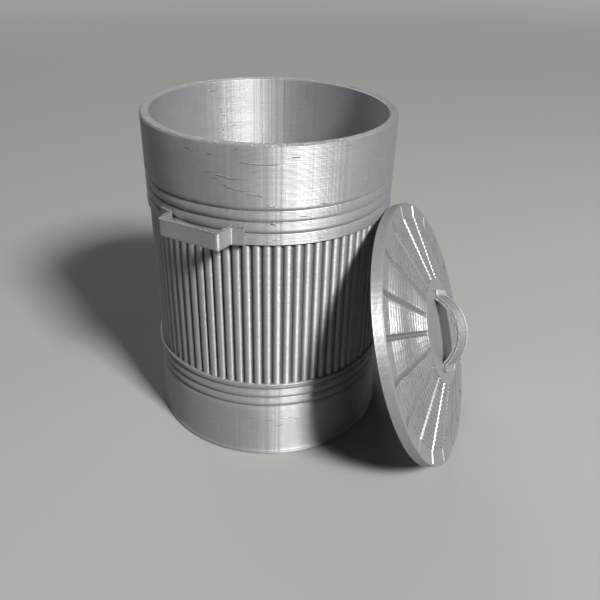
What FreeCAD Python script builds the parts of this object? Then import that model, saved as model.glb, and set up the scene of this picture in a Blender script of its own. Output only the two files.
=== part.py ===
"""Desk-size dustbin: a fluted round can with two bracket handles and a loose lid with radial channels.

All lengths are millimetres. The origin is the centre of the can's base on the table, +Z is up,
the bracket handles face -Y and +Y, and the lid stands on its edge and leans on the can's +X side.
"""
import FreeCAD, Part
import math
import os
import Sketcher

# Driving dimensions: alias, value and meaning, piece by piece
SIZES = [
    ("can_radius", 40.0, "outer radius of the smooth bands and of the ring crests"),
    ("can_wall", 2.8, "wall from the bands to the smooth inside"),
    ("floor_thickness", 2.8, "floor of the can"),
    ("floor_fillet", 1.6, "round between the floor and the inside wall"),
    ("flange_reach", 0.5, "how far the base flange stands out of the wall"),
    ("flange_height", 1.1, "upright part of the base flange"),
    ("flange_bevel", 0.3, "bevel under the base flange"),
    ("flare_height", 1.9, "height of the hollow flare above the flange"),
    ("flare_radius", 4.2, "radius of that flare"),
    ("lower_band_height", 20.1, "base to the lowest groove"),
    ("ring_height", 3.4, "height of one rounded ring"),
    ("groove_depth", 0.8, "depth of the grooves between rings"),
    ("lower_ledge", 0.2, "plain strip of the ring below the flutes"),
    ("upper_ledge", 1.5, "plain strip of the ring above the flutes"),
    ("ledge_bevel", 0.3, "bevel of both rings where the flutes end"),
    ("flute_height", 49.8, "length of the flutes"),
    ("flute_recess", 0.7, "flute crests lie this far inside the bands"),
    ("flute_depth", 1.0, "crest to valley"),
    ("flute_land", 0.3, "plain strip left on each crest"),
    ("flute_count", 80, "flutes round the can"),
    ("upper_band_height", 17.0, "smooth band between the upper rings and the rim"),
    ("rim_round", 0.8, "round on the outer edge of the rim"),
    ("rim_bevel", 0.4, "bevel on the inner edge of the rim"),
    ("bracket_bar", 20.9, "outside length of a bracket handle's bar"),
    ("bracket_reach", 5.7, "outside of the bar to the ring crests"),
    ("bracket_thickness", 1.5, "thickness of the bar and arms"),
    ("bracket_height", 5.4, "height of the bracket"),
    ("bracket_lift", 0.4, "ends of the flutes to the bracket's lower edge"),
    ("arm_slant", 0.6, "how far each arm spreads on its way to the foot"),
    ("foot_length", 2.95, "length of each foot beyond its arm"),
    ("foot_thickness", 1.3, "thickness of the bracket feet"),
    ("bracket_round", 1.2, "round on the outer corners of the bar and in the crook of each foot"),
    ("toe_round", 0.6, "round on the toes of the feet and inside the bar's corners"),
    ("bond_gap", 0.05, "film of glue under a handle foot"),
    ("lid_clearance", 0.4, "play between the lid's skirt and the can"),
    ("skirt_wall", 2.8, "wall of the lid's skirt"),
    ("skirt_height", 3.4, "upright side of the lid"),
    ("skirt_round", 0.4, "round on the skirt's lower edge"),
    ("edge_width", 0.4, "width of the bevel between the side and the face"),
    ("edge_rise", 0.3, "height of that bevel"),
    ("plate_thickness", 1.4, "thickness of the lid's face"),
    ("border_width", 4.6, "flat border between the bevel and the stepped cone"),
    ("cone_rise", 4.8, "height of the stepped cone"),
    ("terrace_count", 16, "steps of the cone"),
    ("hub_radius", 17.8, "flat hub on top of the cone"),
    ("channel_count", 20, "radial channels in the face"),
    ("channel_width", 1.75, "mouth of a channel"),
    ("channel_floor", 0.3, "flat bottom of a channel"),
    ("channel_depth", 0.6, "depth of a channel"),
    ("channel_setback", 0.3, "ends of a channel inside the edges of the face and the hub"),
    ("strap_width", 11.0, "width of the lid handle"),
    ("strap_thickness", 1.8, "thickness of its strap"),
    ("arch_height", 7.0, "hub to the top of the strap"),
    ("arch_radius", 14.4, "outer radius of the strap's arch"),
    ("tab_length", 1.7, "length of the out-turned tabs"),
    ("tab_thickness", 1.2, "thickness of those tabs"),
    ("tab_round", 0.8, "round on the tabs' corners and between tab and strap"),
    ("lid_lean_angle", 20.8, "degrees that the standing lid leans back"),
    ("lid_bearing_angle", 2.05, "degrees from +X to the place where the lid stands"),
    ("lid_facing_angle", 8.9, "degrees from +X to the way the lid's face looks"),
    ("lid_spin_angle", -28.8, "degrees that the lid is turned about its own axis"),
    ("lean_gap", 0.3, "gap where the lid leans on the can"),
    ("overrun", 1.0, "how far a cutting outline reaches past the surface"),
]

# Share of a flute's depth and half width that its round crest takes
CREST_SHARE = 0.9
# Ring heights in the stacks: whole rings, then the half ring that rounds into the next band
WHOLE_RINGS = 2
HALF_RING_SHARE = 0.5

LEFT = 1
RIGHT = -1

# Edges within this many degrees of an axis count as parallel to it
PARALLEL_WITHIN = 1
# Points taken round the lid's edge, and steps to find how far the lid stands from the can
EDGE_POINTS = 1440
STANDING_STEPS = 8

doc = FreeCAD.newDocument("DeskBin")
dim = doc.addObject("Spreadsheet::Sheet", "dim")
for row, (alias, size, meaning) in enumerate(SIZES, start=1):
    dim.set(f"A{row}", meaning)
    dim.set(f"B{row}", str(size))
    dim.setAlias(f"B{row}", alias)
doc.recompute()


def value(expression):
    """Number that an expression over the sheet gives."""
    return float(dim.evalExpression(expression))


def vector(x, y):
    """Point of a sketch from two expressions."""
    return FreeCAD.Vector(value(x), value(y), 0)


def origin_feature(body, role):
    """Plane or axis of a body's own origin."""
    return next(item for item in body.Origin.OriginFeatures if item.Role == role)


def new_body(name):
    """Empty body whose label is the sub-part's name."""
    body = doc.addObject("PartDesign::Body", name)
    body.Label = name
    return body


def minor_arc(start, end, radius, turn):
    """Arc under a half circle from start to end that bends to the LEFT or the RIGHT."""
    along = end - start
    half = along.Length / 2
    side = FreeCAD.Vector(-along.y, along.x, 0).normalize() * turn
    centre = (start + end) / 2 + side * math.sqrt(max(radius ** 2 - half ** 2, 0))
    first, last = (start, end) if turn == LEFT else (end, start)
    angles = [math.atan2(point.y - centre.y, point.x - centre.x) for point in (first, last)]
    return Part.ArcOfCircle(Part.Circle(centre, FreeCAD.Vector(0, 0, 1), radius), *angles)


def place_point(sketch, edge, end, x, y):
    """Ties one end of an edge to the sketch's origin with bound distances."""
    for kind, expression, axis in (("DistanceX", x, -2), ("DistanceY", y, -1)):
        if expression == "0":
            sketch.addConstraint(Sketcher.Constraint("PointOnObject", edge, end, axis))
            continue
        size = value(expression)
        ends = (-1, 1, edge, end) if size >= 0 else (edge, end, -1, 1)
        index = sketch.addConstraint(Sketcher.Constraint(kind, *ends, abs(size)))
        sketch.setExpression(f"Constraints[{index}]", expression if size >= 0 else f"-({expression})")


def outline(body, name, role, corners, height="0"):
    """Closed sketch through corners (x, y) or (x, y, radius, turn), all of them expressions.

    A corner with a radius starts an arc to the next corner; the others start a straight line.
    """
    sketch = body.newObject("Sketcher::SketchObject", name)
    sketch.AttachmentSupport = [(origin_feature(body, role), "")]
    sketch.MapMode = "FlatFace"
    if height != "0":
        sketch.setExpression("AttachmentOffset.Base.z", height)
    points = [vector(*corner[:2]) for corner in corners]
    ends = []
    for corner, start, end in zip(corners, points, points[1:] + points[:1]):
        if len(corner) == 2:
            sketch.addGeometry(Part.LineSegment(start, end), False)
            ends.append((1, 2))
        else:
            sketch.addGeometry(minor_arc(start, end, value(corner[2]), corner[3]), False)
            ends.append((1, 2) if corner[3] == LEFT else (2, 1))
    count = len(corners)
    for edge in range(count):
        following = (edge + 1) % count
        sketch.addConstraint(
            Sketcher.Constraint("Coincident", edge, ends[edge][1], following, ends[following][0]))
    for edge, corner in enumerate(corners):
        place_point(sketch, edge, ends[edge][0], *corner[:2])
        if len(corner) > 2:
            index = sketch.addConstraint(Sketcher.Constraint("Radius", edge, value(corner[2])))
            sketch.setExpression(f"Constraints[{index}]", corner[2])
    return sketch


def revolve(body, sketch):
    """Full turn of a sketch about the body's Z axis."""
    turned = body.newObject("PartDesign::Revolution", f"{sketch.Name}_turned")
    turned.Profile = sketch
    turned.ReferenceAxis = (sketch, ["V_Axis"])
    turned.Angle = 360
    return turned


def pad(body, sketch, length, midplane=False):
    """Pad of a sketch by a bound length, to one side or both."""
    raised = body.newObject("PartDesign::Pad", f"{sketch.Name}_pad")
    raised.Profile = sketch
    raised.Midplane = midplane
    raised.setExpression("Length", length)
    return raised


def around(body, feature, count):
    """Copies of a feature round the body's Z axis, and the body ends with them."""
    pattern = body.newObject("PartDesign::PolarPattern", f"{feature.Name}_pattern")
    pattern.Originals = [feature]
    pattern.Axis = (origin_feature(body, "Z_Axis"), [""])
    pattern.Angle = 360
    pattern.setExpression("Occurrences", count)
    body.Tip = pattern
    return pattern


def mirror(body, feature, role):
    """Other half of a feature across one of the body's planes."""
    other = body.newObject("PartDesign::Mirrored", f"{feature.Name}_mirrored")
    other.Originals = [feature]
    other.MirrorPlane = (origin_feature(body, role), [""])
    body.Tip = other
    return other


def round_edges(body, feature, name, radius, chosen):
    """Fillet on the edges of a feature that the function chosen picks."""
    doc.recompute()
    names = [f"Edge{index}" for index, edge in enumerate(feature.Shape.Edges, start=1) if chosen(edge)]
    fillet = body.newObject("PartDesign::Fillet", name)
    fillet.Base = (feature, names)
    fillet.setExpression("Radius", radius)
    body.Tip = fillet
    return fillet


def runs_along(edge, axis):
    """True for a straight edge parallel to an axis."""
    if not isinstance(edge.Curve, Part.Line):
        return False
    return abs(edge.Curve.Direction.dot(axis)) > math.cos(math.radians(PARALLEL_WITHIN))


# Levels and radii that several pieces share
GROOVE_RADIUS = "(dim.can_radius - dim.groove_depth)"
CREST_RADIUS = "(dim.can_radius - dim.flute_recess)"
INNER_RADIUS = "(dim.can_radius - dim.can_wall)"
RING_ARC = "((dim.ring_height ^ 2 / 4 + dim.groove_depth ^ 2) / (2 * dim.groove_depth))"
HALF_RING = f"({HALF_RING_SHARE} * dim.ring_height)"
STACK = f"({WHOLE_RINGS + HALF_RING_SHARE} * dim.ring_height)"
FLUTE_BOTTOM = f"(dim.lower_band_height + {STACK} + dim.lower_ledge + dim.ledge_bevel)"
FLUTE_TOP = f"({FLUTE_BOTTOM} + dim.flute_height)"
UPPER_GROOVE = f"({FLUTE_TOP} + dim.ledge_bevel + dim.upper_ledge + {HALF_RING})"
CAN_TOP = f"({UPPER_GROOVE} + {STACK} + dim.upper_band_height)"
LID_RADIUS = "(dim.can_radius + dim.lid_clearance + dim.skirt_wall)"
CONE_RADIUS = f"({LID_RADIUS} - dim.edge_width - dim.border_width)"
FACE = "(dim.skirt_height + dim.edge_rise)"
HUB = f"({FACE} + dim.cone_rise)"


def ring_stack(lowest_groove):
    """Corners of two whole rings above a groove, up to the next band's round shoulder."""
    return [
        (GROOVE_RADIUS, f"{lowest_groove} + {ring} * dim.ring_height", RING_ARC, LEFT)
        for ring in range(WHOLE_RINGS + 1)
    ] + [("dim.can_radius", f"{lowest_groove} + {STACK}")]


def make_can():
    """Can turned from one section, with the valleys between its flutes cut round it."""
    body = new_body("can_body")
    flange = "(dim.can_radius + dim.flange_reach)"
    section = [
        ("0", "0"),
        (f"{flange} - dim.flange_bevel", "0"),
        (flange, "dim.flange_bevel"),
        (flange, "dim.flange_height", "dim.flare_radius", RIGHT),
        ("dim.can_radius", "dim.flange_height + dim.flare_height"),
        ("dim.can_radius", f"dim.lower_band_height - {HALF_RING}", RING_ARC, LEFT),
        *ring_stack("dim.lower_band_height"),
        ("dim.can_radius", f"{FLUTE_BOTTOM} - dim.ledge_bevel"),
        ("dim.can_radius - dim.ledge_bevel", FLUTE_BOTTOM),
        (CREST_RADIUS, FLUTE_BOTTOM),
        (CREST_RADIUS, FLUTE_TOP),
        ("dim.can_radius - dim.ledge_bevel", FLUTE_TOP),
        ("dim.can_radius", f"{FLUTE_TOP} + dim.ledge_bevel"),
        ("dim.can_radius", f"{UPPER_GROOVE} - {HALF_RING}", RING_ARC, LEFT),
        *ring_stack(UPPER_GROOVE),
        ("dim.can_radius", f"{CAN_TOP} - dim.rim_round", "dim.rim_round", LEFT),
        ("dim.can_radius - dim.rim_round", CAN_TOP),
        (f"{INNER_RADIUS} + dim.rim_bevel", CAN_TOP),
        (INNER_RADIUS, f"{CAN_TOP} - dim.rim_bevel"),
        (INNER_RADIUS, "dim.floor_thickness + dim.floor_fillet", "dim.floor_fillet", RIGHT),
        (f"{INNER_RADIUS} - dim.floor_fillet", "dim.floor_thickness"),
        ("0", "dim.floor_thickness"),
    ]
    turned = revolve(body, outline(body, "can_section", "XZ_Plane", section))
    doc.recompute()
    plain_volume = turned.Shape.Volume

    half = f"(pi * {CREST_RADIUS} / dim.flute_count - dim.flute_land / 2)"
    sweep = f"((dim.flute_depth ^ 2 + {half} ^ 2) / (2 * dim.flute_depth))"
    crest_arc = f"{CREST_SHARE} * {sweep}"
    valley_arc = f"{1 - CREST_SHARE} * {sweep}"
    bend_radius = f"{CREST_RADIUS} - {CREST_SHARE} * dim.flute_depth"
    bend_half = f"{1 - CREST_SHARE} * {half}"
    outside = f"{CREST_RADIUS} + dim.overrun"
    valley = [
        (outside, half),
        (CREST_RADIUS, half, crest_arc, RIGHT),
        (bend_radius, bend_half, valley_arc, LEFT),
        (bend_radius, f"-{bend_half}", crest_arc, RIGHT),
        (CREST_RADIUS, f"-{half}"),
        (outside, f"-{half}"),
    ]
    pocket = body.newObject("PartDesign::Pocket", "flute_valley")
    pocket.Profile = outline(body, "valley_section", "XY_Plane", valley, FLUTE_BOTTOM)
    pocket.Reversed = True
    pocket.setExpression("Length", "dim.flute_height")
    around(body, pocket, "dim.flute_count")
    doc.recompute()
    if body.Shape.Volume >= plain_volume:
        raise RuntimeError("the flutes cut nothing")
    return body


def make_bracket(name, turn):
    """Bracket handle of one strip: bar, two spread arms and two feet that lie on the rings."""
    body = new_body(name)
    seat = "(dim.can_radius + dim.bond_gap)"
    front = f"({seat} + dim.foot_thickness)"
    bar_out = "(dim.can_radius + dim.bracket_reach)"
    bar_in = f"({bar_out} - dim.bracket_thickness)"
    bar_half = "(dim.bracket_bar / 2)"
    arm_end = f"({bar_half} + dim.arm_slant)"
    arm_start = f"({arm_end} - dim.bracket_thickness)"
    toe = f"({arm_end} + dim.foot_length)"

    def on_circle(radius, x):
        """Height of a circle about the can's axis at x."""
        return f"sqrt({radius} ^ 2 - ({x}) ^ 2)"

    toe_front = f"({toe} * {front} / {seat})"
    half = [
        ("0", bar_out),
        ("0", bar_in),
        (f"{bar_half} - dim.bracket_thickness", bar_in),
        (arm_start, on_circle(seat, arm_start), seat, RIGHT),
        (toe, on_circle(seat, toe)),
        (toe_front, on_circle(front, toe_front), front, LEFT),
        (arm_end, on_circle(front, arm_end)),
        (bar_half, bar_out),
    ]
    bottom = f"{FLUTE_TOP} + dim.bracket_lift"
    strip = pad(body, outline(body, f"{name}_plan", "XY_Plane", half, bottom), "dim.bracket_height")
    whole = mirror(body, strip, "YZ_Plane")
    upright = FreeCAD.Vector(0, 0, 1)

    def at_corners(*numbers):
        """Picks the upright edges at some corners of the plan and of its mirror image."""
        spots = [vector(*half[number][:2]) for number in numbers]

        def chosen(edge):
            point = FreeCAD.Vector(abs(edge.CenterOfMass.x), edge.CenterOfMass.y, 0)
            nearest = min(point.distanceToPoint(spot) for spot in spots)
            return runs_along(edge, upright) and nearest < value("dim.bond_gap")

        return chosen

    outer = round_edges(body, whole, f"{name}_bends", "dim.bracket_round", at_corners(6, 7))
    round_edges(body, outer, f"{name}_toes", "dim.toe_round", at_corners(2, 5))
    body.Placement = FreeCAD.Placement(FreeCAD.Vector(), FreeCAD.Rotation(upright, turn))
    return body


def make_lid_shell():
    """Lid turned from one stepped section, with straight channels cut from the rim to the hub."""
    body = new_body("lid_shell")
    skirt_inside = "(dim.can_radius + dim.lid_clearance)"
    face_edge = f"({LID_RADIUS} - dim.edge_width)"
    tread = f"(({CONE_RADIUS} - dim.hub_radius) / (dim.terrace_count - 1))"
    riser = "(dim.cone_rise / dim.terrace_count)"
    underside = f"({FACE} - dim.plate_thickness)"
    terraces = []
    for step in range(int(value("dim.terrace_count"))):
        radius = f"{CONE_RADIUS} - {step} * {tread}"
        terraces.append((radius, f"{FACE} + {step} * {riser}"))
        terraces.append((radius, f"{FACE} + {step + 1} * {riser}"))
    section = [
        (skirt_inside, "0"),
        (f"{LID_RADIUS} - dim.skirt_round", "0", "dim.skirt_round", LEFT),
        (LID_RADIUS, "dim.skirt_round"),
        (LID_RADIUS, "dim.skirt_height"),
        (face_edge, FACE),
        *terraces,
        ("0", HUB),
        ("0", f"{HUB} - dim.plate_thickness"),
        ("dim.hub_radius", f"{HUB} - dim.plate_thickness"),
        (CONE_RADIUS, underside),
        (skirt_inside, underside),
    ]
    turned = revolve(body, outline(body, "lid_section", "XZ_Plane", section))
    doc.recompute()
    plain_volume = turned.Shape.Volume

    slant = "(dim.channel_width - dim.channel_floor) / (2 * dim.channel_depth)"
    opened = f"(dim.channel_width / 2 + dim.overrun * {slant})"
    stations = [
        (f"{face_edge} - dim.channel_setback", FACE),
        (CONE_RADIUS, FACE),
        ("dim.hub_radius - dim.channel_setback", HUB),
    ]
    across = []
    for number, (radius, level) in enumerate(stations):
        trough = [
            ("-dim.channel_floor / 2", f"{level} - dim.channel_depth"),
            ("dim.channel_floor / 2", f"{level} - dim.channel_depth"),
            (opened, f"{level} + dim.overrun"),
            (f"-{opened}", f"{level} + dim.overrun"),
        ]
        across.append(outline(body, f"channel_section_{number}", "YZ_Plane", trough, radius))
    channel = body.newObject("PartDesign::SubtractiveLoft", "channel")
    channel.Profile = across[0]
    channel.Sections = across[1:]
    channel.Ruled = True
    around(body, channel, "dim.channel_count")
    doc.recompute()
    if body.Shape.Volume >= plain_volume:
        raise RuntimeError("the channels cut nothing")
    return body


def make_lid_handle():
    """Strap handle: an arch with two out-turned tabs that are glued to the hub."""
    body = new_body("lid_handle")
    seat = f"({HUB} + dim.bond_gap)"
    inner_arc = "(dim.arch_radius - dim.strap_thickness)"
    centre_drop = "(dim.arch_radius - dim.arch_height)"
    strap_foot = f"sqrt({inner_arc} ^ 2 - {centre_drop} ^ 2)"
    tab_start = f"sqrt(dim.arch_radius ^ 2 - ({centre_drop} + dim.tab_thickness) ^ 2)"
    half = [
        ("0", f"{seat} + dim.arch_height", "dim.arch_radius", RIGHT),
        (tab_start, f"{seat} + dim.tab_thickness"),
        (f"{tab_start} + dim.tab_length", f"{seat} + dim.tab_thickness"),
        (f"{tab_start} + dim.tab_length", seat),
        (strap_foot, seat, inner_arc, LEFT),
        ("0", f"{seat} + dim.arch_height - dim.strap_thickness"),
    ]
    arch = pad(body, outline(body, "strap_side", "XZ_Plane", half), "dim.strap_width", midplane=True)
    whole = mirror(body, arch, "YZ_Plane")
    upright = FreeCAD.Vector(0, 0, 1)
    across = FreeCAD.Vector(0, 1, 0)
    tab_top = value(f"{seat} + dim.tab_thickness")
    crook = value(tab_start)

    def tab_corner(edge):
        """Upright corners of the tabs and the crook between tab and strap."""
        if runs_along(edge, upright):
            return True
        point = edge.CenterOfMass
        at_crook = math.hypot(abs(point.x) - crook, point.z - tab_top) < value("dim.bond_gap")
        return runs_along(edge, across) and at_crook

    round_edges(body, whole, "tab_rounds", "dim.tab_round", tab_corner)
    return body


def lid_placement():
    """Where the lid stands: its edge on the table, its back a small gap from the can."""
    upright = FreeCAD.Vector(0, 0, 1)
    turn = FreeCAD.Rotation(upright, value("dim.lid_facing_angle"))
    tilt = FreeCAD.Rotation(FreeCAD.Vector(0, 1, 0), 90 - value("dim.lid_lean_angle"))
    spin = FreeCAD.Rotation(upright, value("dim.lid_spin_angle"))
    lean = math.radians(value("dim.lid_lean_angle"))
    bearing = math.radians(value("dim.lid_bearing_angle"))
    edge = value("dim.skirt_round")
    ring = value(LID_RADIUS) - edge
    height = ring * math.cos(lean) + edge - edge * math.sin(lean)
    angles = [2 * math.pi * step / EDGE_POINTS for step in range(EDGE_POINTS)]
    circle = [FreeCAD.Vector(ring * math.cos(angle), ring * math.sin(angle), edge) for angle in angles]
    clear = value("dim.lean_gap") + edge
    distance = clear + ring + value("dim.can_radius")
    flutes = value(FLUTE_BOTTOM), value(FLUTE_TOP)

    def off_the_can(point):
        """Level distance from a point to the can's wall, which is set back at the flutes."""
        wall = CREST_RADIUS if flutes[0] < point.z < flutes[1] else "dim.can_radius"
        return math.hypot(point.x, point.y) - value(wall)

    placement = FreeCAD.Placement()
    for _ in range(STANDING_STEPS):
        base = FreeCAD.Vector(distance * math.cos(bearing), distance * math.sin(bearing), height)
        placement = FreeCAD.Placement(base, turn * tilt * spin)
        distance += clear - min(off_the_can(placement.multVec(point)) for point in circle)
    return placement


can_body = make_can()
front = make_bracket("side_handle_front", 180)
rear = make_bracket("side_handle_rear", 0)
lid_shell = make_lid_shell()
lid_handle = make_lid_handle()
standing = lid_placement()
lid_shell.Placement = standing
lid_handle.Placement = standing
doc.recompute()

SUB_PARTS = [can_body, front, rear, lid_shell, lid_handle]
for item in doc.Objects:
    if "Invalid" in item.State or "Error" in item.State:
        raise RuntimeError(f"{item.Label} failed: {item.State}")
for item in SUB_PARTS:
    if item.Shape.isNull() or not item.Shape.isValid() or len(item.Shape.Solids) != 1:
        raise RuntimeError(f"{item.Label} is not one valid solid")

os.makedirs("parts", exist_ok=True)
for item in SUB_PARTS:
    item.Shape.exportStep(f"parts/{item.Label}.step")
    box = item.Shape.BoundBox
    print(item.Label, "volume", round(item.Shape.Volume), "box", box)
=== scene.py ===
"""Looks of the desk-size trash can: printed can, bracket handles, loose grooved lid and its strap.

Laid out as an add-on and run as a script. Lengths are metres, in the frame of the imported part:
the origin is the centre of the can's base, +Z is up, and the lid leans on the can's +X side.
"""
import math

import bpy
import numpy as np
from bpy.props import FloatProperty, IntProperty, PointerProperty, StringProperty
from mathutils import Matrix, Vector


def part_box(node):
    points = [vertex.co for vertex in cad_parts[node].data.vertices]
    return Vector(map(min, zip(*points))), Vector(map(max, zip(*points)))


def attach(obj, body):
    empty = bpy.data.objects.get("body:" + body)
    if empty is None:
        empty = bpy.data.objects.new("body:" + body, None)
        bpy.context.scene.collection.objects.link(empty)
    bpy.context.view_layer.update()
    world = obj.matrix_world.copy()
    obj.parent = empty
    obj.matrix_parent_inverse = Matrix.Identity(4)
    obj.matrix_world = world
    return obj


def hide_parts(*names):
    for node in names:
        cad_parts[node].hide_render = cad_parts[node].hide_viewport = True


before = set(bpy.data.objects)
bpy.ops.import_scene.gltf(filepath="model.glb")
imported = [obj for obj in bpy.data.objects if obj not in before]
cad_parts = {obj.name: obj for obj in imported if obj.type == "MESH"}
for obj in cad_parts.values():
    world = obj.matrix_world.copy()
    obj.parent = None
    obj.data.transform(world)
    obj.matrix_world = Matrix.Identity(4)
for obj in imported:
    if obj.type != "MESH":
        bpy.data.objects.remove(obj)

bl_info = {
    "name": "Desk-size trash can",
    "version": (1, 0, 0),
    "blender": (4, 5, 0),
    "location": "View3D > Sidebar > Desk bin",
    "description": "Builds the printed surfaces, finishes and stage of a desk-size trash can",
    "category": "Object",
}

MM = 0.001
TAU = 2 * math.pi

Y_AXIS, Z_AXIS = 1, 2

CAN_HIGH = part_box("can_body")[1]
BRACKET_LOW, BRACKET_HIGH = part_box("side_handle_rear")

# Innermost ring of points round a pole, and the radius inside which the lid's columns draw together
POLE = 4 * MM
LID_MIDDLE = 12 * MM


# Sizes and colours that a user would change


def length(name, millimetres, text):
    """Length property with its default in millimetres."""
    return FloatProperty(
        name=name, description=text, default=millimetres * MM, unit="LENGTH", precision=5)


def turn(name, degrees, text):
    """Angle property with its default in degrees."""
    return FloatProperty(
        name=name, description=text, default=math.radians(degrees), unit="ROTATION")


def hex_colour(name, code, text):
    """Colour property that holds an sRGB hex code."""
    return StringProperty(name=name, description=f"{text}, sRGB hex", default=code)


class CanSizes(bpy.types.PropertyGroup):
    """Sizes of the can."""

    radius: length("Radius", 40, "Smooth bands and ring crests")
    wall: length("Wall", 2.8, "Wall and floor thickness")
    height: length("Height", CAN_HIGH.z / MM, "Table to rim")
    flange: length("Flange", 0.5, "How far the foot flange stands out")
    lower_groove: length("Lower groove", 20.1, "Table to the lowest groove")
    upper_groove: length("Upper groove", 82.4, "Table to the lowest groove above the flutes")
    ring: length("Ring", 3.4, "Height of one rounded ring")
    groove: length("Groove depth", 0.8, "Depth of the grooves between rings")
    flute_low: length("Flute foot", 29.1, "Table to the lower ends of the flutes")
    flute_high: length("Flute top", 78.9, "Table to the upper ends of the flutes")
    flute_recess: length("Flute recess", 0.7, "Flute crests inside the bands")
    flute_depth: length("Flute depth", 1.0, "Crest to valley")
    flute_land: length("Flute land", 0.3, "Flat strip on each crest")
    flutes: IntProperty(name="Flutes", description="Flutes round the can", default=80, min=3)
    facets: IntProperty(
        name="Facets", description="Flat strips of the printed circle", default=160, min=8)


class BracketSizes(bpy.types.PropertyGroup):
    """Sizes of the side handles."""

    bar: length("Bar", 20.9, "Outside length of the bar")
    reach: length("Reach", 5.7, "Outside of the bar to the ring crests")
    thickness: length("Thickness", 1.5, "Bar and arms")
    foot: length("Foot", 1.3, "Thickness of the feet")
    spread: length("Spread", 0.6, "How far each arm spreads towards its foot")
    toe: length("Toe", 2.95, "Length of a foot beyond its arm")
    film: length("Film", 0.05, "Glue under the feet")


class LidSizes(bpy.types.PropertyGroup):
    """Sizes and stance of the lid."""

    radius: length("Radius", 43.2, "Outer radius")
    inside: length("Inside", 40.4, "Inner radius of the skirt")
    skirt: length("Skirt", 3.4, "Upright side")
    bevel_width: length("Bevel width", 0.4, "Bevel between the side and the face")
    bevel_rise: length("Bevel rise", 0.3, "Height of that bevel")
    border: length("Border", 4.6, "Flat border outside the stepped cone")
    plate: length("Plate", 1.4, "Thickness of the face")
    rise: length("Rise", 4.8, "Height of the stepped cone")
    hub: length("Hub", 17.8, "Radius of the flat hub")
    channel: length("Channel", 1.75, "Mouth of a radial channel")
    channel_floor: length("Channel floor", 0.3, "Flat bottom of a channel")
    channel_depth: length("Channel depth", 0.95, "Depth of a channel")
    setback: length("Setback", 0.3, "Ends of a channel inside the edges of the face and the hub")
    terraces: IntProperty(
        name="Terraces", description="Printed steps of the cone", default=16, min=2)
    channels: IntProperty(name="Channels", description="Radial channels", default=20, min=3)
    centre_x: length("Centre X", 55.7495, "Where the lid's lower plane is centred")
    centre_y: length("Centre Y", 1.9955, "Where the lid's lower plane is centred")
    centre_z: length("Centre Z", 40.2685, "Where the lid's lower plane is centred")
    lean: turn("Lean", 20.8, "How far the lid leans back")
    facing: turn("Facing", 8.9, "Way that the face looks, from +X")
    spin: turn("Spin", -28.8, "Turn about the lid's own axis")


class StrapSizes(bpy.types.PropertyGroup):
    """Sizes of the lid's strap handle."""

    width: length("Width", 11.0, "Width of the strap")
    thickness: length("Thickness", 1.8, "Thickness of the arch")
    height: length("Height", 7.0, "Hub to the top of the arch")
    arch: length("Arch", 14.4, "Outer radius of the arch")
    tab: length("Tab", 1.2, "Thickness of the tabs")
    reach: length("Reach", 13.25, "Middle of the lid to a tab's end")
    # The real layers, about 0.3 mm, are too fine to show on the arch
    ridge: length("Ridge", 2.2, "Spacing of the drawn ridges along the arch")


class PrintFinish(bpy.types.PropertyGroup):
    """Colours and print texture."""

    silver: hex_colour("Silver", "#C2C3C4", "Main colour")
    # Darker silver for random clouds and drag marks, and painted shade in the grooves between layers
    shade: hex_colour("Shade", "#9A9C9E", "Darker clouds and grooves")
    # Painted shade: dark grey mixed into the bottoms of the flutes and into the channels
    painted_shade: hex_colour("Painted_shade", "#5C5E60", "Bottoms of the flutes and channels")
    floor: hex_colour("Floor", "#A6A6A3", "Floor as the camera sees it")
    bounce: hex_colour("Bounce", "#454544", "Floor as it lights the can")
    # Drawn coarser than the real layers, which are finer than the picture's points
    layer: length("Layer", 0.33, "Spacing of the drawn layers")
    ridge: length("Ridge", 1.0, "Spacing of the drawn ridges on the side handles")
    seed: IntProperty(name="Seed", description="Seed of the small print marks", default=7)


# Colours, nodes and grids


def to_linear(code):
    """Linear RGBA of an sRGB hex colour.

    A channel c becomes c/12.92 up to 0.04045, and ((c + 0.055)/1.055)^2.4 above.
    """
    channels = np.array([int(code[place:place + 2], 16) for place in (1, 3, 5)]) / 255
    linear = np.where(channels <= 0.04045, channels / 12.92, ((channels + 0.055) / 1.055) ** 2.4)
    return (*linear.tolist(), 1.0)


def add(tree, kind, links=None, **settings):
    """Adds a node, sets its properties, fills or links its inputs, and returns its first output."""
    node = tree.nodes.new(kind)
    for name, setting in settings.items():
        setattr(node, name, setting)
    for key, source in (links or {}).items():
        if isinstance(source, bpy.types.NodeSocket):
            tree.links.new(source, node.inputs[key])
        else:
            node.inputs[key].default_value = source
    return node.outputs[0]


def straight(start, end, steps):
    """Points on the line from start to end, evenly spaced, without end itself."""
    share = np.linspace(0, 1, steps, endpoint=False)[:, None]
    return np.array(start) + share * (np.array(end) - np.array(start))


def bow(start, end, rise, steps):
    """Circular arc from start to end, without end, that stands rise to the right of its chord.

    With half chord a the half angle is 2 atan(rise/a) and the radius a/sin(half angle).
    """
    start, end = np.array(start), np.array(end)
    half = np.linalg.norm(end - start) / 2
    along = (end - start) / (2 * half)
    right = np.array([along[1], -along[0]])
    spread = 2 * math.atan(rise / half)
    radius = half / math.sin(spread)
    angle = np.linspace(-spread, spread, steps, endpoint=False)[:, None]
    ahead = along * radius * np.sin(angle)
    aside = right * radius * (np.cos(angle) - math.cos(spread))
    return (start + end) / 2 + ahead + aside


def rise_of(start, end, radius):
    """Height of a minor arc of that radius over the chord from start to end."""
    half = math.dist(start, end) / 2
    return radius - math.sqrt(radius ** 2 - half ** 2)


def wobble(angle, seed, waves, size):
    """Smooth closed ripple round a circle: a sum of sines of whole frequencies with seeded phases."""
    rng = np.random.default_rng(seed)
    phase = rng.uniform(0, TAU, len(waves))
    weight = rng.uniform(0.5, 1, len(waves))
    total = np.sin(np.multiply.outer(angle, waves) + phase) @ weight
    return size * total / weight.sum()


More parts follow.
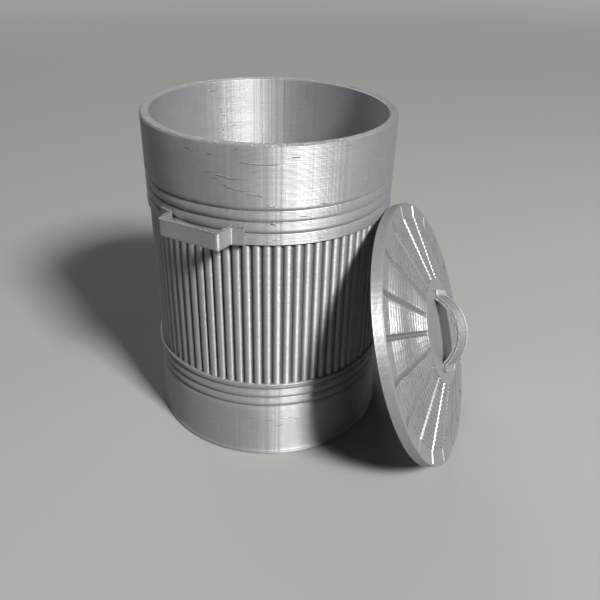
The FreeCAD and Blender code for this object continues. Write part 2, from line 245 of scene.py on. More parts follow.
def wrapped_quads(rows, columns):
    """Faces of a grid whose columns close on themselves."""
    row = np.arange(rows - 1)[:, None]
    column = np.arange(columns)[None, :]
    after = (column + 1) % columns
    corners = [row * columns + column, row * columns + after,
               (row + 1) * columns + after, (row + 1) * columns + column]
    return np.stack(corners, -1).reshape(-1, 4)


def fan(hub, ring):
    """Triangles from one vertex to a closed ring of vertices, in the ring's own sense."""
    return np.stack([np.full(len(ring), hub), ring, np.roll(ring, -1)], 1)


def put_mesh(name, points, quads, triangles, material, sharp=35):
    """Object at the origin from whole arrays of points and faces.

    It is shaded smooth, but for edges that bend by more than sharp, in degrees.
    """
    mesh = bpy.data.meshes.new(name)
    mesh.vertices.add(len(points))
    mesh.vertices.foreach_set("co", np.ascontiguousarray(points, np.float32).ravel())
    counts = np.concatenate([np.full(len(quads), 4), np.full(len(triangles), 3)])
    corners = np.concatenate([np.ravel(quads), np.ravel(triangles)]).astype(np.int32)
    mesh.loops.add(len(corners))
    mesh.loops.foreach_set("vertex_index", corners)
    mesh.polygons.add(len(counts))
    starts = np.concatenate([[0], np.cumsum(counts)[:-1]]).astype(np.int32)
    mesh.polygons.foreach_set("loop_start", starts)
    mesh.update(calc_edges=True)
    if mesh.validate():
        raise RuntimeError(f"{name} has faulty faces")
    mesh.shade_smooth()
    mesh.set_sharp_from_angle(angle=math.radians(sharp))
    mesh.materials.append(material)
    piece = bpy.data.objects.new(name, mesh)
    bpy.context.scene.collection.objects.link(piece)
    return piece


def join_shapes(shapes):
    """One set of points, quads and triangles from several, with the indices moved on."""
    points, quads, triangles, count = [], [], [], 0
    for shape in shapes:
        points.append(shape[0])
        quads.append(shape[1] + count)
        triangles.append(shape[2] + count)
        count += len(shape[0])
    return np.concatenate(points), np.concatenate(quads), np.concatenate(triangles)


def capped_tube(rings, poles):
    """Closed tube through rings (rows by points by 3), with a fan from a pole over either end."""
    rows, columns = rings.shape[:2]
    count = rows * columns
    first = np.arange(columns)
    last = first + (rows - 1) * columns
    triangles = np.concatenate([fan(count, first[::-1]), fan(count + 1, last)])
    return np.concatenate([rings.reshape(-1, 3), poles]), wrapped_quads(rows, columns), triangles


def turned_shape(radius, height, angle):
    """Closed solid of revolution: rows of (radius, height) at each angle, with a pole at either end.

    radius and height are grids of rows by angles; a point is (r cos a, r sin a, h).
    """
    rings = np.stack([radius * np.cos(angle), radius * np.sin(angle), height], -1)
    return capped_tube(rings, [[0, 0, height[0].mean()], [0, 0, height[-1].mean()]])


def swept_shape(rings):
    """Closed tube through a stack of rings, with a pole in the middle of either end ring."""
    return capped_tube(rings, rings[[0, -1]].mean(1))


def rounded_path(corners, radii, steps):
    """Plane path through corners, each replaced by an arc of its radius that both sides touch.

    The arc starts and ends r tan(turn/2) from the corner.
    """
    corners = np.array(corners, float)
    parts = [corners[:1]]
    for before, here, after, radius in zip(corners, corners[1:], corners[2:], radii):
        into = (here - before) / np.linalg.norm(here - before)
        out = (after - here) / np.linalg.norm(after - here)
        cross = into[0] * out[1] - into[1] * out[0]
        bend = math.atan2(cross, into @ out)
        if radius == 0:
            parts.append(here[None])
            continue
        reach = radius * math.tan(abs(bend) / 2)
        side = math.copysign(1, bend)
        normal = side * np.array([-into[1], into[0]])
        centre = here - into * reach + normal * radius
        angle = np.linspace(0, abs(bend), steps)[:, None]
        parts.append(centre - radius * normal * np.cos(angle) + radius * into * np.sin(angle))
    parts.append(corners[-1:])
    return np.concatenate(parts)


def path_normals(path):
    """Unit normals to the left of a plane path, at each of its points."""
    tangent = np.gradient(path, axis=0)
    tangent /= np.linalg.norm(tangent, axis=1)[:, None]
    return np.stack([-tangent[:, 1], tangent[:, 0]], 1)


def layered_box(half_width, low, high, corner, pitch, groove):
    """Closed section of a printed strip: points round a rounded rectangle, and how far each draws in.

    A point is (side share, level), with the share from -1 to 1 across the strip. Both sides draw in by
    the groove between each pair of layers, and the top and bottom at every other of a few points.
    """
    layers = max(2, round((high - low - 2 * corner) / pitch))
    level = np.linspace(low + corner, high - corner, 2 * layers + 1)
    drawn = np.where(np.arange(len(level)) % 2 == 0, groove, 0.0)
    quarter = np.linspace(0, math.pi / 2, 4)[1:-1]
    inset = corner / half_width
    upper = np.stack([1 - inset + inset * np.cos(quarter), high - corner + corner * np.sin(quarter)], 1)
    top_points = 7
    top = np.stack([np.linspace(1 - inset, -1 + inset, top_points), np.full(top_points, high)], 1)
    dips = np.where(np.arange(top_points) % 2 == 0, 0.0, groove)
    right = np.stack([np.ones(len(level)), level], 1)
    half = np.concatenate([right, upper, top])
    mark = np.concatenate([drawn, np.zeros(len(upper)), dips])
    middle = (low + high) / 2
    other = np.stack([-half[:, 0], 2 * middle - half[:, 1]], 1)
    return np.concatenate([half, other]), np.concatenate([mark, mark])


def lid_matrix():
    """Where the lid stands: turned to its facing, tipped back from upright, and spun about its axis."""
    lid = bpy.context.scene.bin_lid
    tip = Matrix.Rotation(math.pi / 2 - lid.lean, 4, "Y")
    about = Matrix.Rotation(lid.facing, 4, "Z") @ tip @ Matrix.Rotation(lid.spin, 4, "Z")
    return Matrix.Translation((lid.centre_x, lid.centre_y, lid.centre_z)) @ about


def stood(points):
    """Points of the lid's own frame, moved to where the lid stands."""
    matrix = np.array(lid_matrix())
    return points @ matrix[:3, :3].T + matrix[:3, 3]


# Spacing of the print texture: a noise shows about one blob for each of these lengths
FLOW = 1.1 * MM  # thick and thin spells from layer to layer
STREAK = 2.2 * MM  # upright streaks round a wall
DRAG = 0.8 * MM  # height of the marks that the nozzle draws along a layer
DRAGS_PER_RADIAN = 9.0  # which are some 4 mm long on the can
FLECK = (2.4, 2.4, 0.9)  # flecks against drag marks: how much denser they lie, along and across
GRAIN = 0.5 * MM  # mica, really a tenth of that and drawn coarser to show
CLOUD = 9 * MM  # clouds of darker silver

# Depth of the print texture, in millimetres
LAYER_DEEP = 0.15
FLOW_DEEP = 0.010
STREAK_DEEP = 0.16
DRAG_DEEP = 0.010
NICK_DEEP = 0.20

# How far spells and drag marks shift a layer, in layers
FLOW_SHIFT = 0.35
DRAG_SHIFT = 0.25
# Where a layer's groove lies on walls: bead share -0.35 to 1, against -1 to 1 on lying faces
WALL_START = -0.35
# A face lies when its normal is this near the axis of the layers, as a cosine
LYING = 0.75

# Share of the darker silver: at least, in clouds, as painted shade in layer grooves, and in drag marks
SHADE_LEAST = 0.1
SHADE_CLOUD = 0.5
SHADE_GROOVE = 0.12
SHADE_DRAG = 0.35
# Painted shade: flute depth at which it starts and is full, its full share, and its share in channels
PAINTED_SHADE_START = 0.35
PAINTED_SHADE_FULL = 0.85
PAINTED_SHADE_SHARE = 0.85
PAINTED_SHADE_CHANNEL = 0.3

# Silk PLA: the index of plain PLA, mica that mirrors like metal in part, and a satin roughness
PLA_IOR = 1.46
MICA_METALLIC = 0.6
SATIN = 0.37
SATIN_GRAIN = 0.14


def silk_pla(name, matrix, layers_across, laid, lumps, grains, patch=None):
    """Silver silk PLA as printed: mica-filled plastic with a soft metal sheen over fine laid beads.

    Layers are lines of equal height along one axis of the matrix, layers_across, and of equal radius on
    faces square to it, which lie. On those the beads are as deep as laid, flecks add lumps and the mica
    adds grains, all in millimetres. Where a patch attribute is named, only points that it marks carry
    beads and lumps. Two more attributes are read, and are 0 on pieces without them: slick marks channels,
    which stay smooth and get some painted shade, and ticks says how deep in a flute a point lies, for the
    nicks across it and the painted shade at its bottom.
    """
    scene = bpy.context.scene
    finish = scene.bin_finish
    material = bpy.data.materials.new(name)
    material.use_nodes = True
    tree = material.node_tree
    shader = tree.nodes["Principled BSDF"]

    # Height and radius of each point in the print's own frame, and whether its face lies
    spot = add(tree, "ShaderNodeTexCoord").node
    place = spot.outputs["Object"]
    axis = matrix.to_3x3().col[layers_across]
    if matrix != Matrix.Identity(4):
        place = add(
            tree, "ShaderNodeMapping",
            {"Vector": place, "Location": matrix.translation, "Rotation": matrix.to_euler()},
            vector_type="TEXTURE")
    parts = add(tree, "ShaderNodeSeparateXYZ", {0: place}).node.outputs
    level = parts[layers_across]
    across = [parts[index] for index in range(3) if index != layers_across]
    flat = add(tree, "ShaderNodeCombineXYZ", {0: across[0], 1: across[1]})
    radius = add(tree, "ShaderNodeVectorMath", {0: flat}, operation="LENGTH").node.outputs["Value"]
    facing = add(
        tree, "ShaderNodeVectorMath", {0: spot.outputs["Normal"], 1: axis}, operation="DOT_PRODUCT"
    ).node.outputs["Value"]
    facing = add(tree, "ShaderNodeMath", {0: facing}, operation="ABSOLUTE")
    lying = add(tree, "ShaderNodeMath", {0: facing, 1: LYING}, operation="GREATER_THAN")
    counted = add(tree, "ShaderNodeMath", {0: radius, 1: lying, 2: level}, operation="MULTIPLY_ADD")

    # Noises along the layers, round the axis and through the plastic
    soft = {"Detail": 2.0, "Roughness": 0.6}
    harsh = {"Detail": 3.0, "Roughness": 0.6}
    around = add(tree, "ShaderNodeVectorMath", {0: flat}, operation="NORMALIZE")
    uneven = add(
        tree, "ShaderNodeTexNoise", {"W": counted, "Scale": 1 / FLOW, **soft}, noise_dimensions="1D")
    streaks = scene.bin_can.radius / STREAK
    streak = add(tree, "ShaderNodeTexNoise", {"Vector": around, "Scale": streaks, **harsh})
    grain = add(tree, "ShaderNodeTexNoise", {"Vector": place, "Scale": 1 / GRAIN, **soft})
    turned = add(tree, "ShaderNodeVectorMath", {0: around, "Scale": DRAGS_PER_RADIAN}, operation="SCALE")
    height = add(tree, "ShaderNodeMath", {0: counted, 1: 1 / DRAG}, operation="MULTIPLY")
    lifted = add(tree, "ShaderNodeCombineXYZ", {2: height})
    stretched = add(tree, "ShaderNodeVectorMath", {0: turned, 1: lifted}, operation="ADD")
    drag = add(tree, "ShaderNodeTexNoise", {"Vector": stretched, "Scale": 1.0, **harsh})
    shorter = add(tree, "ShaderNodeVectorMath", {0: stretched, 1: FLECK}, operation="MULTIPLY")
    weave = add(
        tree, "ShaderNodeTexNoise", {"Vector": shorter, "Scale": 1.0, "Detail": 2.0, "Roughness": 0.5})

    # Square of the share across a bead: 0 on its crest and 1 in the groove beside it
    beat = add(tree, "ShaderNodeMath", {0: counted, 1: 1 / finish.layer}, operation="MULTIPLY")
    beat = add(tree, "ShaderNodeMath", {0: uneven, 1: FLOW_SHIFT, 2: beat}, operation="MULTIPLY_ADD")
    beat = add(tree, "ShaderNodeMath", {0: drag, 1: DRAG_SHIFT, 2: beat}, operation="MULTIPLY_ADD")
    share = add(tree, "ShaderNodeMath", {0: beat}, operation="FRACT")
    start = add(
        tree, "ShaderNodeMath", {0: lying, 1: -1 - WALL_START, 2: WALL_START}, operation="MULTIPLY_ADD")
    spread = add(tree, "ShaderNodeMath", {0: 1.0, 1: start}, operation="SUBTRACT")
    share = add(tree, "ShaderNodeMath", {0: share, 1: spread, 2: start}, operation="MULTIPLY_ADD")
    bead = add(tree, "ShaderNodeMath", {0: share, 1: share}, operation="MULTIPLY")

    # Where each pattern shows
    marked = 1.0
    if patch:
        marked = add(tree, "ShaderNodeAttribute", attribute_name=patch).node.outputs["Fac"]
    slick = add(tree, "ShaderNodeAttribute", attribute_name="slick").node.outputs["Fac"]
    nicked = add(tree, "ShaderNodeAttribute", attribute_name="ticks").node.outputs["Fac"]
    smooth = add(tree, "ShaderNodeMath", {0: lying, 1: slick}, operation="MAXIMUM")
    upright = add(tree, "ShaderNodeMath", {0: 1.0, 1: smooth}, operation="SUBTRACT")
    on_top = add(tree, "ShaderNodeMath", {0: lying, 1: marked}, operation="MULTIPLY")
    depth = add(tree, "ShaderNodeMath", {0: upright, 1: -LAYER_DEEP}, operation="MULTIPLY")
    depth = add(tree, "ShaderNodeMath", {0: on_top, 1: -laid, 2: depth}, operation="MULTIPLY_ADD")
    stripe = add(tree, "ShaderNodeMath", {0: streak, 1: upright}, operation="MULTIPLY")
    nick = add(tree, "ShaderNodeMath", {0: weave, 1: nicked}, operation="MULTIPLY")
    lump = add(tree, "ShaderNodeMath", {0: weave, 1: on_top}, operation="MULTIPLY")
    speck = add(tree, "ShaderNodeMath", {0: grain, 1: lying}, operation="MULTIPLY")

    height = add(tree, "ShaderNodeMath", {0: bead, 1: depth}, operation="MULTIPLY")
    depths = (
        (uneven, FLOW_DEEP), (stripe, STREAK_DEEP), (drag, DRAG_DEEP),
        (lump, lumps), (nick, NICK_DEEP), (speck, grains))
    for pattern, deep in depths:
        height = add(tree, "ShaderNodeMath", {0: pattern, 1: deep, 2: height}, operation="MULTIPLY_ADD")
    bump = add(
        tree, "ShaderNodeBump",
        {"Height": height, "Strength": 1.0, "Distance": MM, "Filter Width": 0.1})

    # Silver with darker clouds and drag marks, and painted shade in layer grooves, flutes and channels
    cloud = add(
        tree, "ShaderNodeTexNoise",
        {"Vector": place, "Scale": 1 / CLOUD, "Detail": 4.0, "Roughness": 0.55})
    tone = add(
        tree, "ShaderNodeMath", {0: cloud, 1: SHADE_CLOUD, 2: SHADE_LEAST}, operation="MULTIPLY_ADD")
    # Painted shade in the grooves between layers
    tone = add(tree, "ShaderNodeMath", {0: bead, 1: SHADE_GROOVE, 2: tone}, operation="MULTIPLY_ADD")
    tone = add(
        tree, "ShaderNodeMath", {0: drag, 1: SHADE_DRAG, 2: tone},
        operation="MULTIPLY_ADD", use_clamp=True)
    colour = add(
        tree, "ShaderNodeMix",
        {0: tone, 6: to_linear(finish.silver), 7: to_linear(finish.shade)}, data_type="RGBA"
    ).node.outputs[2]
    # Painted shade: dark grey mixed in towards the bottoms of the flutes and into the channels
    sunk = add(
        tree, "ShaderNodeMapRange",
        {"Value": nicked, "From Min": PAINTED_SHADE_START, "From Max": PAINTED_SHADE_FULL, "To Max": PAINTED_SHADE_SHARE})
    sunk = add(tree, "ShaderNodeMath", {0: slick, 1: PAINTED_SHADE_CHANNEL, 2: sunk}, operation="MULTIPLY_ADD")
    colour = add(
        tree, "ShaderNodeMix", {0: sunk, 6: colour, 7: to_linear(finish.painted_shade)}, data_type="RGBA"
    ).node.outputs[2]
    gloss = add(tree, "ShaderNodeMath", {0: grain, 1: SATIN_GRAIN, 2: SATIN}, operation="MULTIPLY_ADD")
    tree.links.new(colour, shader.inputs["Base Color"])
    tree.links.new(gloss, shader.inputs["Roughness"])
    tree.links.new(bump, shader.inputs["Normal"])
    shader.inputs["Metallic"].default_value = MICA_METALLIC
    shader.inputs["IOR"].default_value = PLA_IOR
    return material


def shared_material(name, **look):
    """The named finish, made the first time it is asked for."""
    return bpy.data.materials.get(name) or silk_pla(name, **look)


def can_finish():
    """Finish of the can: level layers, which draw every highlight out into a soft upright band."""
    return shared_material(
        "silk_pla_upright_layers", matrix=Matrix.Identity(4), layers_across=Z_AXIS,
        laid=0.05, lumps=0.30, grains=0.50)


def bracket_finish():
    """Finish of the brackets: the can's layers, with a coarse grain that dulls their tops."""
    return shared_material(
        "silk_pla_grainy_layers", matrix=Matrix.Identity(4), layers_across=Z_AXIS,
        laid=0.05, lumps=0.35, grains=1.00)


def lid_finish():
    """Finish of the lid: layers along its own axis, and lumpy beads that glitter on its face."""
    return shared_material(
        "silk_pla_lid_layers", matrix=lid_matrix(), layers_across=Z_AXIS,
        laid=0.03, lumps=0.85, grains=0.03, patch="beads")


def strap_finish():
    """Finish of the strap, printed on its side: layers that run with its arch and streak its sheen."""
    laid_over = lid_matrix() @ Matrix.Rotation(math.pi, 4, "Z")
    return shared_material(
        "silk_pla_strap_layers", matrix=laid_over, layers_across=Y_AXIS,
        laid=0.05, lumps=0.10, grains=0.40)


# Pieces


def settle(piece, body, *nodes):
    """Rides a finished piece on its body, and lets it stand for its CAD nodes."""
    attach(piece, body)
    if nodes:
        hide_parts(*nodes)


def mark_points(piece, name, marks):
    """Attribute with one value for each point of a capped tube's grid, and 0 at its two poles."""
    attribute = piece.data.attributes.new(name, "FLOAT", "POINT")
    attribute.data.foreach_set("value", np.append(marks.ravel(), [0, 0]).astype(np.float32))


def flute_columns(can):
    """Angles of the columns of one flute after another, and the depth of the flute at each.

    A valley arc and two crest arcs meet on the line from crest to valley; each is sampled at equal
    turns of its own tangent, so steep sides get as many columns as round ones.
    """
    crest_share = 0.9
    bowl_columns, side_columns = 4, 5
    crest_radius = can.radius - can.flute_recess
    half = math.pi * crest_radius / can.flutes - can.flute_land / 2
    sweep = (can.flute_depth ** 2 + half ** 2) / (2 * can.flute_depth)
    crest, valley = crest_share * sweep, (1 - crest_share) * sweep
    steep = math.asin(crest_share * half / crest)
    bowl = np.linspace(-steep, steep, bowl_columns)
    side = np.linspace(steep, 0, side_columns)[1:]
    run = crest * np.sin(side)
    across = np.concatenate([-half + run[::-1], valley * np.sin(bowl), half - run])
    deep_bowl = can.flute_depth - valley * (1 - np.cos(bowl))
    deep_side = crest * (1 - np.cos(side))
    depth = np.concatenate([deep_side[::-1], deep_bowl, deep_side])
    step = TAU / can.flutes
    angle = (np.arange(can.flutes)[:, None] * step + across / crest_radius).ravel()
    return angle, np.tile(depth, can.flutes)


def can_profile(can):
    """Section of the can from the middle of its base to the middle of its floor.

    Rows are (radius, height, flute share). Straight runs, the ledge over the foot flange, rings and
    rounds follow one another; the rim's top carries one low ridge for each laid bead.
    """
    radius, low = can.radius, can.lower_groove
    edge, inner = radius + can.flange, radius - can.wall
    dent, half = radius - can.groove, can.ring / 2
    ring_radius = (half ** 2 + can.groove ** 2) / (2 * can.groove)
    bevel, rim_round, rim_break, fillet = 0.3 * MM, 0.8 * MM, 0.4 * MM, 1.6 * MM
    bead_dip, ledge_end, top = 0.08 * MM, 3 * MM, can.height

    def ring_stack(groove):
        """Shoulder, two whole rings and shoulder, from half a ring below the lowest groove."""
        shoulder = rise_of((radius, groove - half), (dent, groove), ring_radius)
        last = groove + 2 * can.ring
        return [
            bow((radius, groove - half), (dent, groove), shoulder, 4),
            bow((dent, groove), (dent, groove + can.ring), can.groove, 8),
            bow((dent, groove + can.ring), (dent, last), can.groove, 8),
            bow((dent, last), (radius, last + half), shoulder, 4),
        ]

    # The ledge over the flange has an eased lip, and its slope dies out on the wall
    ledge = [(edge, 0.95 * MM), (edge - 0.08 * MM, 1.15 * MM), (radius + 0.14 * MM, 1.4 * MM)]
    slope = straight((radius + 0.07 * MM, 1.8 * MM), (radius, ledge_end), 2)
    rim = rise_of((radius, top - rim_round), (radius - rim_round, top), rim_round)
    corner = rise_of((inner, can.wall + fillet), (inner - fillet, can.wall), fillet)
    crown = straight((radius - rim_round, top), (inner + rim_break, top), 7)
    crown[1::2, 1] -= bead_dip
    parts = [
        straight((POLE, 0), (edge - bevel, 0), 2),
        [(edge - bevel, 0), (edge, bevel)],
        ledge,
        slope,
        straight((radius, ledge_end), (radius, low - half), 3),
        *ring_stack(low),
        [(radius, can.flute_low - bevel), (radius - bevel, can.flute_low)],
    ]
    flutes = np.linspace((0, can.flute_low), (0, can.flute_high), 5)
    above = [
        [(radius - bevel, can.flute_high), (radius, can.flute_high + bevel)],
        *ring_stack(can.upper_groove),
        straight((radius, can.upper_groove + 2.5 * can.ring), (radius, top - rim_round), 3),
        bow((radius, top - rim_round), (radius - rim_round, top), rim, 4),
        crown,
        [(inner + rim_break, top)],
        straight((inner, top - rim_break), (inner, can.wall + fillet), 4),
        bow((inner, can.wall + fillet), (inner - fillet, can.wall), -corner, 4),
        straight((inner - fillet, can.wall), (POLE, can.wall), 2),
        [(POLE, can.wall)],
    ]
    below, above = np.concatenate(parts), np.concatenate(above)
    rows = np.concatenate([below, flutes, above])
    share = np.repeat([0.0, 1.0, 0.0], [len(below), len(flutes), len(above)])
    return rows[:, 0], rows[:, 1], share


class BIN_OT_can(bpy.types.Operator):
    """Builds the printed can with its flutes, rings, flange and ridged rim"""

    bl_idname = "bin.can"
    bl_label = "Can"

    def execute(self, context):
        can = context.scene.bin_can
        angle, depth = flute_columns(can)
        radius, height, share = can_profile(can)
        pitch = TAU / can.facets
        within = angle % pitch - pitch / 2
        facet = math.cos(pitch / 2) / np.cos(within)
        plain = radius[:, None] * facet[None, :]
        fluted = (can.radius - can.flute_recess - depth)[None, :]
        grid = plain * (1 - share[:, None]) + fluted * share[:, None]
        level = np.repeat(height[:, None], len(angle), 1)
        piece = put_mesh("printed_can", *turned_shape(grid, level, angle), can_finish())
        # Depth share in each flute, for the nicks across it and the painted shade at its bottom
        on_crests = 0.3
        sunk = on_crests + (1 - on_crests) * depth / can.flute_depth
        mark_points(piece, "ticks", share[:, None] * sunk[None, :])
        settle(piece, "can", "can_body")
        return {"FINISHED"}


def bracket_rings(can, bracket, finish):
    """Rings of a bracket handle on the +Y side: a layered strip section carried along its plan path.

    The path runs foot, arm, bar, arm, foot. A ring's points are the path's point plus the section's
    side share times half the strip's thickness, less the layer grooves, along the path's normal.
    """
    arm_bend, bar_bend, bar_end = 1.1 * MM, 0.45 * MM, 1.2 * MM
    blend, corner, groove = 1.5 * MM, 0.25 * MM, 0.2 * MM
    half_bar = bracket.bar / 2 - bracket.thickness / 2
    bar_line = can.radius + bracket.reach - bracket.thickness / 2
    foot_line = can.radius + bracket.film + bracket.foot / 2
    arm_x = bracket.bar / 2 + bracket.spread - bracket.thickness / 2
    toe_x = (bracket.bar / 2 + bracket.spread + bracket.toe) * foot_line / (can.radius + bracket.film)

    def on_foot(x):
        """Point of the foot's middle line, which is concentric with the can."""
        return (x, math.sqrt(foot_line ** 2 - x ** 2))

    side = [(half_bar, bar_line), on_foot(arm_x), on_foot((arm_x + toe_x) / 2), on_foot(toe_x)]
    corners = [(-x, y) for x, y in side[::-1]] + side
    path = rounded_path(corners, [0, arm_bend, bar_bend, bar_bend, arm_bend, 0], 7)
    bar_x = np.linspace(-1, 1, 9)[1:-1] * (half_bar - bar_end)
    bar_points = np.stack([bar_x, np.full(len(bar_x), bar_line)], 1)
    middle = len(path) // 2
    path = np.concatenate([path[:middle], bar_points, path[middle:]])
    normal = path_normals(path)
    reach = np.hypot(path[:, 0], path[:, 1])
    in_foot = np.clip((foot_line + blend - reach) / blend, 0, 1)
    thick = (bracket.thickness + (bracket.foot - bracket.thickness) * in_foot) / 2
    section, drawn = layered_box(
        bracket.thickness / 2, BRACKET_LOW.z, BRACKET_HIGH.z, corner, finish.ridge, groove)
    offset = section[None, :, 0] * thick[:, None]
    offset -= np.sign(section[None, :, 0]) * drawn[None, :]
    plan = path[:, None, :] + offset[..., None] * normal[:, None, :]
    level = np.broadcast_to(section[None, :, 1], offset.shape)
    return np.concatenate([plan, level[..., None]], -1)


class BIN_OT_brackets(bpy.types.Operator):
    """Builds the two bracket handles as layered strips that bend from foot to bar and back"""

    bl_idname = "bin.brackets"
    bl_label = "Side handles"

    def execute(self, context):
        scene = context.scene
        rings = bracket_rings(scene.bin_can, scene.bin_bracket, scene.bin_finish)
        sides = (("bracket_rear", "side_handle_rear", 1), ("bracket_front", "side_handle_front", -1))
        for name, node, way in sides:
            shape = swept_shape(rings * np.array([way, way, 1]))
            piece = put_mesh(name, *shape, bracket_finish(), sharp=50)
            settle(piece, "can", node)
        return {"FINISHED"}


# Scars of the print on the seen side of the can: bearing in degrees, level and length in millimetres
SCARS = (
    (-93.4, 105.2, 2), (-82.5, 104.7, 2.6), (-71.9, 106.7, 2.2), (-62.5, 102.8, 12), (-69, 103.1, 3.2),
    (-84, 99.6, 4), (-78.5, 98.8, 5), (-81, 98.2, 3), (-72.5, 98.4, 6), (-77.5, 96.4, 2.2),
    (-74.5, 95.7, 4), (-70.5, 95.3, 5), (-66.5, 94.3, 4.3), (-63, 93.8, 2), (-49.5, 104.7, 2.4),
    (-27.6, 106.4, 2.2), (-8.8, 100, 1.2), (-5.5, 99.3, 1), (-2.6, 98.3, 1.2), (-15.7, 95.2, 1.8),
    (-18.9, 92.9, 1.8), (-37.4, 90.8, 2.2), (-16.9, 87.4, 1.6), (-59, 91, 3), (-58, 85.8, 1.5),
    (-46, 87.6, 2), (-57, 80.8, 2.6), (-38, 80.4, 3), (-70.5, 16.9, 3.2), (-66.5, 15.7, 4),
    (-60, 14.7, 2.5), (-52, 15.5, 4), (-47, 14.6, 3), (-89.4, 9.9, 1.2), (-35.7, 10.8, 1.2),
    (-85.5, 7.1, 1.2), (-55, 12.4, 3), (-45, 11.8, 2.6))
# The same inside the can
INSIDE_SCARS = (
    (154.2, 104.8, 3), (146.9, 95.4, 2), (142.1, 91.6, 1.2), (148.9, 90.1, 2.2), (106.4, 97.5, 1.4),
    (115.4, 94.9, 1.2), (118, 88.6, 1.2), (110, 89.4, 1.8), (77.5, 101.2, 1), (124.3, 99.2, 1.2))
# Seeded scars on the unseen side: ranges of bearing and length, and two bands of levels with counts
UNSEEN_BEARING = (25, 205)
UNSEEN_LENGTH = (1, 5)
UNSEEN_BANDS = ((93, 106), (5, 17))
UNSEEN_COUNTS = (26, 16)


def scar_rings(scars, radius, seed):
    """Rings of low spindles on a cylinder: marks by rings by points by 3.

    Along its length s from -1 to 1 a spindle's section is an ellipse that shrinks by the root of 1 - s^2.
    Its half axes at the middle are proud and tall, and its ends tip up or down by a seeded share of tip.
    """
    proud, tall, tip = 0.16 * MM, 0.2 * MM, 0.3 * MM
    near_end = 0.98
    scars = np.array(scars)[:, :, None, None]
    rng = np.random.default_rng(seed)
    slope = rng.uniform(-tip, tip, (len(scars), 1, 1))
    along = np.linspace(-near_end, near_end, 7)[None, :, None]
    taper = np.sqrt(1 - along ** 2)
    turned = np.linspace(TAU, 0, 6, endpoint=False)[None, None, :]
    bearing = np.radians(scars[:, 0]) + along * scars[:, 2] * MM / (2 * radius)
    reach = radius + proud * taper * np.cos(turned)
    level = scars[:, 1] * MM + slope * along + tall * taper * np.sin(turned)
    bearing, reach, level = np.broadcast_arrays(bearing, reach, level)
    return np.stack([reach * np.cos(bearing), reach * np.sin(bearing), level], -1)


class BIN_OT_scars(bpy.types.Operator):
    """Builds the small scars that the print head left on the can's walls"""

    bl_idname = "bin.scars"
    bl_label = "Print scars"

    def execute(self, context):
        can, seed = context.scene.bin_can, context.scene.bin_finish.seed
        rng = np.random.default_rng(seed)
        band = rng.permutation(np.repeat(UNSEEN_BANDS, UNSEEN_COUNTS, 0))
        bearing = rng.uniform(*UNSEEN_BEARING, len(band))
        level = rng.uniform(band[:, 0], band[:, 1])
        long = rng.uniform(*UNSEEN_LENGTH, len(band))
        unseen = np.stack([bearing, level, long], 1)
        outside = scar_rings(np.concatenate([SCARS, unseen]), can.radius, seed)
        inside = scar_rings(INSIDE_SCARS, can.radius - can.wall, seed)
        rings = np.concatenate([outside, inside])
        shape = join_shapes([swept_shape(ring) for ring in rings])
        piece = put_mesh("print_scars", *shape, can_finish())
        settle(piece, "can")
        return {"FINISHED"}


def lid_profile(lid):
    """Section of the lid from under its hub, round the skirt, up the terraces, to the top of the hub.

    Rows are (radius, height, share). Each terrace is a riser with a rounded lip and a tread of two laid
    beads. Share is 1 on terraces, where beads ripple, and 0 elsewhere.
    """
    face = lid.skirt + lid.bevel_rise
    hub = face + lid.rise
    edge = lid.radius - lid.bevel_width
    cone = edge - lid.border
    tread = (cone - lid.hub) / (lid.terraces - 1)
    riser = lid.rise / lid.terraces
    skirt_layers, layer_groove, bead_dip = 10, 0.035 * MM, 0.05 * MM
    foot_round, foot_bulge, inner_break, ease = 0.4 * MM, 0.117 * MM, 0.2 * MM, 0.03 * MM
    corner_ease, lip, gutter, hub_ease = 0.06 * MM, 0.12 * MM, 0.25 * MM, 0.08 * MM
    skirt_top = lid.skirt - 0.1 * MM
    side = straight((lid.radius, foot_round), (lid.radius, skirt_top), 2 * skirt_layers)
    side[1::2, 0] -= layer_groove
    under = [
        straight((POLE, hub - lid.plate), (lid.hub, hub - lid.plate), 2),
        straight((lid.hub, hub - lid.plate), (cone, face - lid.plate), 2),
        straight((cone, face - lid.plate), (lid.inside, face - lid.plate), 1),
        [(lid.inside, face - lid.plate), (lid.inside, inner_break), (lid.inside + inner_break, 0)],
        bow((lid.radius - foot_round, 0), (lid.radius, foot_round), foot_bulge, 3),
        side,
        [(lid.radius, skirt_top), (lid.radius - corner_ease, lid.skirt + corner_ease)],
        [(edge + lip, face - bead_dip)],
    ]
    last = edge - lid.setback
    border = straight((last, face), (cone + gutter, face), 7)
    border[2::2, 1] -= bead_dip
    rim = [(edge, face), (last + ease, face)]
    # A terrace from its foot: riser, lip, first bead, groove and second bead
    inward = np.array(
        [0.02 * MM, 0.0, 0.0, lip, 0.46 * tread, 0.53 * tread, 0.6 * tread, 0.93 * tread])
    upward = np.array([0.03, 0.12, 0.6, 1.0, 1.0, 0.5, 1.0, 1.0]) * riser
    step = np.arange(lid.terraces - 1)[:, None]
    beads = np.stack([cone - step * tread - inward, face + step * riser + upward], -1).reshape(-1, 2)
    top = [
        (lid.hub, hub - 0.8 * riser), (lid.hub, hub - 0.25 * riser), (lid.hub - hub_ease, hub),
        (lid.hub - lid.setback, hub), (lid.hub - lid.setback - ease, hub),
        (LID_MIDDLE, hub), (POLE, hub)]
    rows = np.concatenate([*under, rim, border, beads, top])
    share = np.zeros(len(rows))
    first = sum(map(len, (*under, rim, border)))
    share[first:first + len(beads)] = 1
    return rows[:, 0], rows[:, 1], share


